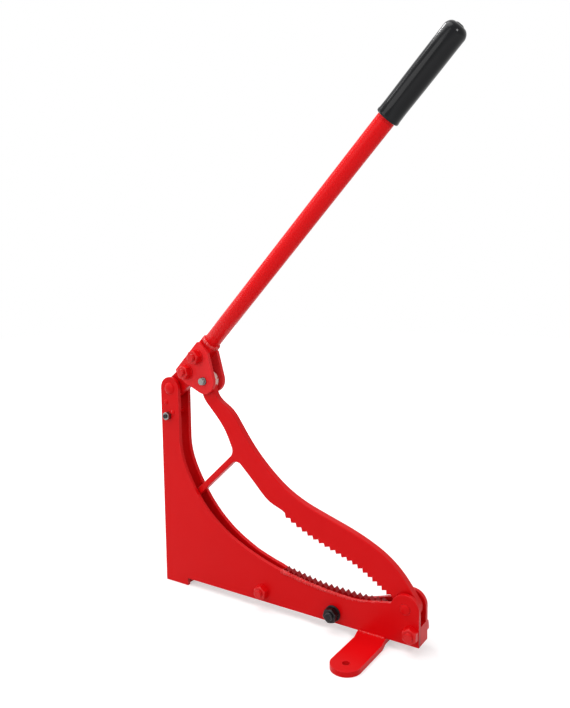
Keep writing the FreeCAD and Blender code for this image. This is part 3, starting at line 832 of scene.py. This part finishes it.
def build_fasteners():
    replace_bolts("frame_bolts", seed=4, material=NUT_PAINT)
    replace_bolts("cheek_bolts", seed=7, material=NUT_PAINT)
    replace_bolts("jaw_clamp_bolt", seed=2)
    replace_bolts("arm_bolt", seed=9)
    replace_bolts("rear_bolt", M5_HEAD, M5_RADIUS, M5_FLATS, M5_PITCH, 5, OXIDE)
    replace_nuts("frame_nuts", material=NUT_PAINT)
    replace_nuts("cheek_nuts", seed=6, material=NUT_PAINT)
    replace_nuts("jaw_clamp_nut", seed=3)
    replace_nuts("rear_nut", M5_RADIUS, M5_FLATS)
    for node in ("cheek_washers", "top_pivot_washers", "link_bolt_washers", "arm_bolt_washers"):
        replace_washers(node)
    replace_washers("jaw_clamp_washer", material=OXIDE)
    replace_washers("jaw_pivot_washers", JAW_PIVOT_WASHER_BORE)
    replace_pins("top_pivot_pin", M8_RADIUS, 6.5 * MM)
    replace_pins("jaw_pivot_pin", 4.6 * MM, 5 * MM)
    replace_pins("upright_rivets", 1.6 * MM, 2.8 * MM)


# Welds

JAW_WELD_START, JAW_WELD_END = -103.5 * MM, 8 * MM  # X, along the near plate's upper edge
JAW_WELD_LEAST_Z = 30 * MM
INNER_FACES_FROM = -7 * MM                          # Y
FOOT_WELD_POINTS = 13
COLLAR_RADIUS, COLLAR_WAVE = 8.3 * MM, 0.4 * MM


def weld_piece(name, body, path, radius, ripple, lumps, seed, closed=False, thinning=0.0):
    sizes = {"Bead Radius": radius, "Ripple": ripple, "Lumps": lumps, "Thinning": thinning,
             "Seed": seed}
    mesh = cook(BEAD, path_mesh(path, closed), WELD_PAINT, sizes)
    return riding_piece(name, mesh, body, WELD_PAINT)


def build_jaw_weld():
    """A bead on the near plate's upper edge, where the lower jaw is welded to it."""
    edge = sorted((vertex.co.copy() for vertex in frame["nodes"]["near_side_plate"].data.vertices
                   if vertex.co.z > JAW_WELD_LEAST_Z and vertex.co.y > INNER_FACES_FROM
                   and JAW_WELD_START < vertex.co.x < JAW_WELD_END), key=lambda co: co.x)
    edge = [Vector((co.x, -9.0 * MM, co.z - 0.2 * MM)) for co in edge]
    edge = [co for i, co in enumerate(edge) if i == 0 or co.x - edge[i - 1].x > 0.5 * MM]
    weld_piece("jaw_weld", "frame", edge, 2.3 * MM, 3.2 * MM, 2.4 * MM, 5, thinning=0.55)


def build_foot_welds():
    """Beads along both sides of the frame, where the bench foot is welded to it."""
    low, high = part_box("bench_foot")
    inset = 1.2 * MM
    step = (high.x - low.x - 2 * inset) / (FOOT_WELD_POINTS - 1)
    for side, name in ((-1, "near_foot_weld"), (1, "far_foot_weld")):
        line = [Vector((low.x + inset + i * step, side * 10.2 * MM, 7.9 * MM))
                for i in range(FOOT_WELD_POINTS)]
        weld_piece(name, "frame", line, 1.5 * MM, 2.0 * MM, 0.8 * MM, 11 + side)


def build_collar_weld():
    """The ring of weld round the tube's foot."""
    low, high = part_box("weld_collar")
    centre = (low + high) / 2
    ring = []
    for i in range(24):
        turn = math.radians(15 * i)
        outward = HANDLE_SIDE * math.cos(turn) + Vector((0, 1, 0)) * math.sin(turn)
        ring.append(centre + outward * COLLAR_RADIUS
                    + HANDLE_LEVER * COLLAR_WAVE * math.sin(3 * turn))
    thing = weld_piece("tube_foot_weld", "handle", ring, 2.1 * MM, 2.6 * MM, 1.3 * MM, 21,
                       closed=True)
    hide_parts("weld_collar")


build_fasteners()
build_jaw_weld()
build_foot_welds()
build_collar_weld()


# Stage: floor, world, lamps, camera

FLOOR_HALF_WIDTH = 3.0
FLOOR_Z = -0.0002
LIGHTING_WORLD = 0.42               # for rays that light a surface; seen, the world is white
LAMPS = (                           # name, place, aim, width, height, power
    ("overhead_softbox", (-0.35, -0.25, 1.45), (-0.08, 0, 0.15), 1.1, 0.8, 9),
    ("front_softbox", (-0.55, -1.35, 0.75), (-0.1, 0, 0.15), 0.9, 0.9, 5.5),
    ("side_strip", (-1.15, -0.35, 0.75), (-0.1, 0, 0.25), 0.22, 1.1, 4),
    ("high_rear_lamp", (-0.65, 0.26, 1.33), (0.0, 0, 0.3), 0.14, 0.14, 2.6),
    ("right_lamp", (0.95, -0.55, 0.80), (0.0, 0, 0.3), 0.20, 0.20, 4),
)
CAMERA_PLACE = Vector((0.270926, -0.560501, 0.341418))
CAMERA_YAW = math.radians(33.4315)
CAMERA_PITCH = math.radians(6.7591)
CAMERA_ROLL = math.radians(0.6338)
CAMERA_LENS = 23.66                 # mm, on a sensor 24 mm high


def seen_share(tree):
    """1 for rays that show a surface, straight or in gloss or glass, and 0 for rays that light it."""
    path = add_node(tree, "ShaderNodeLightPath").outputs
    seen = maths(tree, "MAXIMUM", path["Is Camera Ray"], path["Is Glossy Ray"])
    return maths(tree, "MAXIMUM", seen, path["Is Transmission Ray"])


def pale_floor():
    """White sweep that shows as white and keeps the press's shadow."""
    material, tree, place = new_material("studio_floor")
    strength = spread(tree, length_of(tree, place), 0.35, 1.1, 0.50, 1.0)
    matt = first_output(tree, "ShaderNodeBsdfDiffuse", {"Color": (0.62, 0.62, 0.62, 1)})
    glow = first_output(tree, "ShaderNodeEmission",
                        {"Color": (1, 1, 1, 1), "Strength": strength})
    lit = first_output(tree, "ShaderNodeAddShader", {0: matt, 1: glow})
    chosen = first_output(tree, "ShaderNodeMixShader", {0: seen_share(tree), 1: matt, 2: lit})
    add_node(tree, "ShaderNodeOutputMaterial", {"Surface": chosen})
    return material


def build_floor():
    half = FLOOR_HALF_WIDTH
    mesh = bpy.data.meshes.new("studio_floor")
    corners = [(-half, -half, 0), (half, -half, 0), (half, half, 0), (-half, half, 0)]
    mesh.from_pydata(corners, [], [(0, 1, 2, 3)])
    floor = in_scene("studio_floor", mesh)
    floor.location.z = FLOOR_Z
    dress(floor, pale_floor())


def build_world():
    world = bpy.data.worlds.new("studio")
    bpy.context.scene.world = world
    world.use_nodes = True
    tree = world.node_tree
    tree.nodes.clear()
    level = spread(tree, seen_share(tree), 0.0, 1.0, LIGHTING_WORLD, 1.0)
    back = first_output(tree, "ShaderNodeBackground", {"Color": (1, 1, 1, 1), "Strength": level})
    add_node(tree, "ShaderNodeOutputWorld", {"Surface": back})


def softbox(name, place, aim, width, height, power):
    lamp = bpy.data.lights.new(name, "AREA")
    lamp.shape = "RECTANGLE"
    lamp.size = width
    lamp.size_y = height
    lamp.energy = power
    thing = in_scene(name, lamp)
    thing.location = place
    thing.rotation_euler = (Vector(aim) - Vector(place)).to_track_quat("-Z", "Y").to_euler()


def build_camera():
    yaw, pitch, roll = CAMERA_YAW, CAMERA_PITCH, CAMERA_ROLL
    forward = Vector((-math.sin(yaw) * math.cos(pitch), math.cos(yaw) * math.cos(pitch),
                      -math.sin(pitch)))
    level = Vector((math.cos(yaw), math.sin(yaw), 0))
    down = forward.cross(level)
    right = math.cos(roll) * level + math.sin(roll) * down
    up = math.sin(roll) * level - math.cos(roll) * down
    camera = bpy.data.cameras.new("camera")
    camera.sensor_fit = "VERTICAL"
    camera.sensor_height = 24
    camera.lens = CAMERA_LENS
    camera.clip_start = 0.01
    thing = in_scene("camera", camera)
    turn = Matrix((right, up, -forward)).transposed().to_4x4()
    thing.matrix_world = Matrix.Translation(CAMERA_PLACE) @ turn
    bpy.context.scene.camera = thing


build_floor()
build_world()
for lamp_settings in LAMPS:
    softbox(*lamp_settings)
build_camera()
bpy.context.scene.view_settings.view_transform = "Standard"
